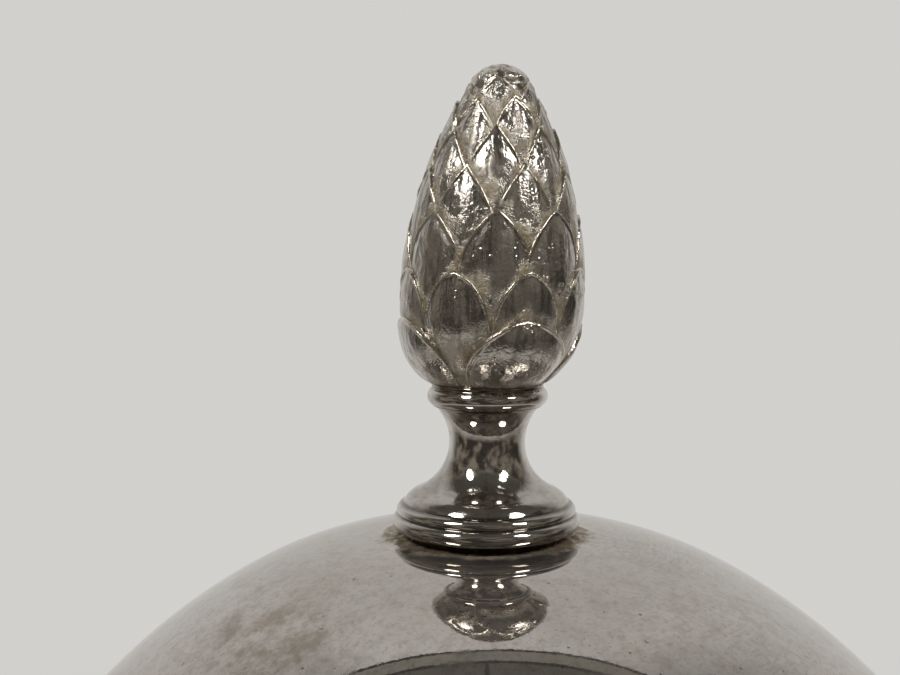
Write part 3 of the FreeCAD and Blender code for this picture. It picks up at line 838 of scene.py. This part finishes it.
def finial_cone():
    build = bmesh.new()
    layers = [build.verts.layers.float.new(name) for name in ("recess", "rim")]
    cone_core(build, layers[0])
    layout = scales()
    for scale in layout:
        add_scale(build, layout, layers, scale)
    bmesh.ops.recalc_face_normals(build, faces=build.faces)
    piece = finished("finial_cone_cast", build)
    lean(piece, LEAN)
    return piece


# ---- build and dress the pieces ---------------------------------------------------------------
dome_silver = sheet_silver("sheet_silver_dome", seat=True, haze=0.15, low_gloss=0.018, high_gloss=0.075)
spun_silver = sheet_silver("sheet_silver_spun", haze=0.25)
bright_cast = cast_silver("cast_silver_turned", turned=True)
plain_cast = cast_silver("cast_silver_bent", turned=False)
scale_cast = cone_silver("cast_silver_scales")
tarnished_brass = brass("fixing_brass")

NEW_PIECES = (
    (lid_dome(), "lid_dome", "sheet_silver", dome_silver),
    (finial_spool(), "finial_spool", "cast_silver", bright_cast),
    (finial_cone(), "finial_cone", "cast_silver", scale_cast),
)
for piece, node, slot, material in NEW_PIECES:
    piece.data.materials.append(material)
    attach(piece, "lid")
    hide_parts(node)

FINISHES = (
    (spun_silver, ("foot_rim", "foot_dome", "bowl_shell", "bowl_rim", "lid_rim", "lid_bezel")),
    (bright_cast, ("pedestal_stem",)),
    (plain_cast, ("right_handle", "left_handle")),
    (plain_cast, ("right_upper_boss", "right_lower_boss", "left_upper_boss", "left_lower_boss")),
    (tarnished_brass, ("finial_stud", "finial_washer", "finial_nut")),
)
for material, names in FINISHES:
    for node in names:
        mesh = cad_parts[node].data
        if not mesh.materials:
            mesh.materials.append(material)
        for index in range(len(mesh.materials)):
            mesh.materials[index] = material


# ---- floor, room and lights -------------------------------------------------------------------
PALE = (0.638, 0.632, 0.612, 1)  # the plain background
FLOOR_COLOUR = (0.80, 0.79, 0.765, 1)
FLOOR_RADIUS = 6.0
FLOOR_DROP = 0.2  # mm below the foot
FLOOR_FADE = (0.13, 0.40)  # metres from the bowl between which the floor turns into background

floor_build = bmesh.new()
bmesh.ops.create_circle(floor_build, cap_ends=True, segments=96, radius=FLOOR_RADIUS)
floor = finished("floor", floor_build)
floor.location.z = -FLOOR_DROP * MM
floor_material, floor_nodes, floor_shader = new_material("pale_floor")
floor_place = floor_nodes.add("TexCoord").outputs["Object"]
floor_reach = floor_nodes.add("VectorMath", {0: floor_place}, operation="LENGTH").outputs["Value"]
far = floor_nodes.span(floor_reach, *FLOOR_FADE)
floor_shader.inputs["Base Color"].default_value = FLOOR_COLOUR
floor_shader.inputs["Roughness"].default_value = 0.9
floor_shader.inputs["Specular IOR Level"].default_value = 0.1
glow = floor_nodes.add("Emission", {"Color": PALE, "Strength": 1.0})
sight_on_floor = floor_nodes.add("LightPath").outputs["Is Camera Ray"]
clear = floor_nodes.add("BsdfTransparent")
beyond = floor_nodes.add("MixShader", {"Fac": sight_on_floor, 1: clear.outputs[0], 2: glow.outputs[0]})
above = floor_nodes.add("MixShader", {"Fac": far, 1: floor_shader.outputs[0], 2: beyond.outputs[0]})
underside = floor_nodes.add("NewGeometry").outputs["Backfacing"]
one_way = floor_nodes.add("MixShader", {"Fac": underside, 1: above.outputs[0], 2: clear.outputs[0]})
floor_output = floor_material.node_tree.nodes["Material Output"]
floor_nodes.link(one_way.outputs[0], floor_output.inputs["Surface"])
floor.data.materials.append(floor_material)

# The room that the silver mirrors: dark and patchy in front, pale behind, with a ceiling whose
# beams run across it.
BEHIND = (0.62, 0.61, 0.585, 1)
IN_FRONT = (0.035, 0.030, 0.025, 1)
FRONT_PATCHES = (0.24, 0.215, 0.18, 1)
TURN_TO_BEHIND = (0.22, 0.80)
ROOM_PATCHES = (2.3, 3, 0.5)
CEILING_STARTS = (0.60, 0.74)
CEILING_STRIPS = ((0.340, (0.215, 0.205, 0.175, 1)), (0.268, (0.085, 0.080, 0.068, 1)))
STRIP_SOFTNESS = 0.002
BEAM_EDGE = (0.005, 0.009)
MIDDLE_BEAM_EDGE = (0.004, 0.008)
BEAM_COLOUR = (0.015, 0.013, 0.012, 1)

world = bpy.data.worlds.new("studio")
bpy.context.scene.world = world
world.use_nodes = True
room = Nodes(world.node_tree)
direction = room.add("TexCoord").outputs["Generated"]
x, y, z = room.axes(direction)
level = room.math("SQRT", room.minus(1.0, room.times(z, z)))
facing = room.math("DIVIDE", y, room.math("MAXIMUM", level, 0.02))
front = room.blend(room.patches(direction, ROOM_PATCHES, 0.42, 0.66), IN_FRONT, FRONT_PATCHES)
room_colour = room.blend(room.span(facing, *TURN_TO_BEHIND), front, BEHIND)
ceiling = room.math("DIVIDE", y, room.math("MAXIMUM", z, 0.05))
high = room.span(z, *CEILING_STARTS)
for edge, tone in CEILING_STRIPS:
    inside = room.span(ceiling, edge - STRIP_SOFTNESS, edge + STRIP_SOFTNESS, 1.0, 0.0)
    inside = room.times(high, inside)
    room_colour = room.blend(inside, room_colour, tone)
    line = room.span(room.math("ABSOLUTE", room.minus(ceiling, edge)), *BEAM_EDGE, 1.0, 0.0)
    room_colour = room.tint(room_colour, line, high, BEAM_COLOUR)
beam = room.span(room.math("ABSOLUTE", x), *MIDDLE_BEAM_EDGE, 1.0, 0.0)
room_colour = room.tint(room_colour, beam, room.times(inside, 0.9), BEAM_COLOUR)
sight = room.add("LightPath").outputs["Is Camera Ray"]
room_colour = room.blend(sight, room_colour, PALE)
room.link(room_colour, world.node_tree.nodes["Background"].inputs["Color"])

LAMP_DISTANCE = 1.5
LAMP_ELEVATION = 45.0
LAMP_AZIMUTH = 53.0
LAMP_SIZE = (0.36, 0.56)
LAMP_POWER = 7.0
LAMP_COLOUR = (1.0, 0.98, 0.94)
for side in (-1, 1):
    lamp_data = bpy.data.lights.new("softbox", "AREA")
    lamp_data.shape = "ELLIPSE"
    lamp_data.size, lamp_data.size_y = LAMP_SIZE
    lamp_data.energy = LAMP_POWER
    lamp_data.color = LAMP_COLOUR
    lamp = bpy.data.objects.new("softbox", lamp_data)
    bpy.context.scene.collection.objects.link(lamp)
    lamp.visible_camera = False
    azimuth, elevation = math.radians(LAMP_AZIMUTH * side), math.radians(LAMP_ELEVATION)
    ahead, aside = -math.cos(azimuth), math.sin(azimuth)
    toward = Vector((aside * math.cos(elevation), ahead * math.cos(elevation), math.sin(elevation)))
    lamp.location = Vector((0, 0, SEAT_Z * MM)) + toward * LAMP_DISTANCE
    lamp.rotation_euler = toward.to_track_quat("Z", "Y").to_euler()
